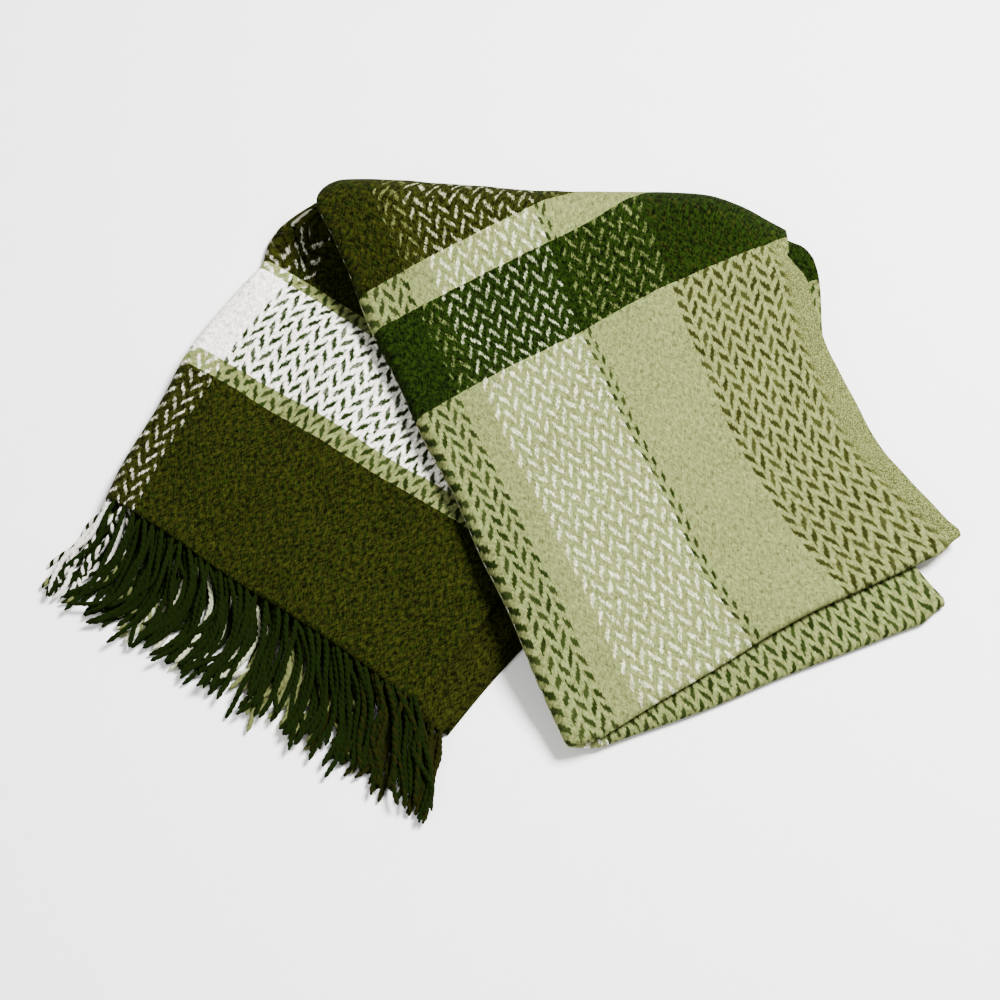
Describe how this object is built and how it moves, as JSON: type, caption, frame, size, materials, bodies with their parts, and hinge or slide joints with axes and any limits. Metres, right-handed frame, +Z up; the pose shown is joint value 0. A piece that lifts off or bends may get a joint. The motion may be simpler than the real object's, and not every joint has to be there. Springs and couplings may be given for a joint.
{
  "type": "camp blanket",
  "caption": "Green checked brushed-wool camp blanket with twisted fringe, folded to a thick strip and folded over once; the upper leg lifts about the fold.",
  "frame": {"origin": "on the ground, under the middle of the folded blanket's box", "axes": "+X to the right leg's free end, +Y towards the top fold, +Z up"},
  "size_m": [0.736, 0.5414, 0.057],
  "materials": {
    "checked_wool_cloth": "brushed wool in a broken-twill weave, checked in pale green, cream, olive and dark green, matt with a slight fuzz",
    "twisted_wool_fringe": "two-ply twisted wool tassels, mostly dark green, matt"
  },
  "bodies": {
    "left_leg": {"left_leg_panel_1": "checked_wool_cloth", "left_leg_panel_2": "checked_wool_cloth", "left_leg_panel_3": "checked_wool_cloth", "left_leg_panel_4": "checked_wool_cloth", "top_fold_panel_1": "checked_wool_cloth", "top_fold_panel_2": "checked_wool_cloth", "top_fold_panel_3": "checked_wool_cloth", "top_fold_panel_4": "checked_wool_cloth", "fringe_rows_lower": "twisted_wool_fringe", "fringe_rows_upper": "twisted_wool_fringe", "tassel_01": "twisted_wool_fringe", "tassel_02": "twisted_wool_fringe", "tassel_03": "twisted_wool_fringe", "tassel_04": "twisted_wool_fringe", "tassel_05": "twisted_wool_fringe", "tassel_06": "twisted_wool_fringe", "tassel_07": "twisted_wool_fringe", "tassel_08": "twisted_wool_fringe", "tassel_09": "twisted_wool_fringe", "tassel_10": "twisted_wool_fringe", "tassel_11": "twisted_wool_fringe", "tassel_12": "twisted_wool_fringe", "tassel_13": "twisted_wool_fringe", "tassel_14": "twisted_wool_fringe", "tassel_15": "twisted_wool_fringe", "tassel_16": "twisted_wool_fringe", "tassel_17": "twisted_wool_fringe", "tassel_18": "twisted_wool_fringe", "tassel_19": "twisted_wool_fringe", "tassel_20": "twisted_wool_fringe", "tassel_21": "twisted_wool_fringe", "tassel_22": "twisted_wool_fringe", "tassel_23": "twisted_wool_fringe", "tassel_24": "twisted_wool_fringe", "tassel_25": "twisted_wool_fringe", "tassel_26": "twisted_wool_fringe", "tassel_27": "twisted_wool_fringe", "tassel_28": "twisted_wool_fringe", "tassel_29": "twisted_wool_fringe", "tassel_30": "twisted_wool_fringe", "tassel_31": "twisted_wool_fringe", "tassel_32": "twisted_wool_fringe"},
    "right_leg": {"right_leg_panel_1": "checked_wool_cloth", "right_leg_panel_2": "checked_wool_cloth", "right_leg_panel_3": "checked_wool_cloth", "right_leg_panel_4": "checked_wool_cloth"}
  },
  "joints": [
    {"name": "right_leg_lift", "type": "hinge", "parent": "left_leg", "child": "right_leg", "pos_m": [0.044, 0.2325, 0.0572], "axis": [-0.9986, 0.0522, 0], "range_deg": [0, 60]}
  ]
}
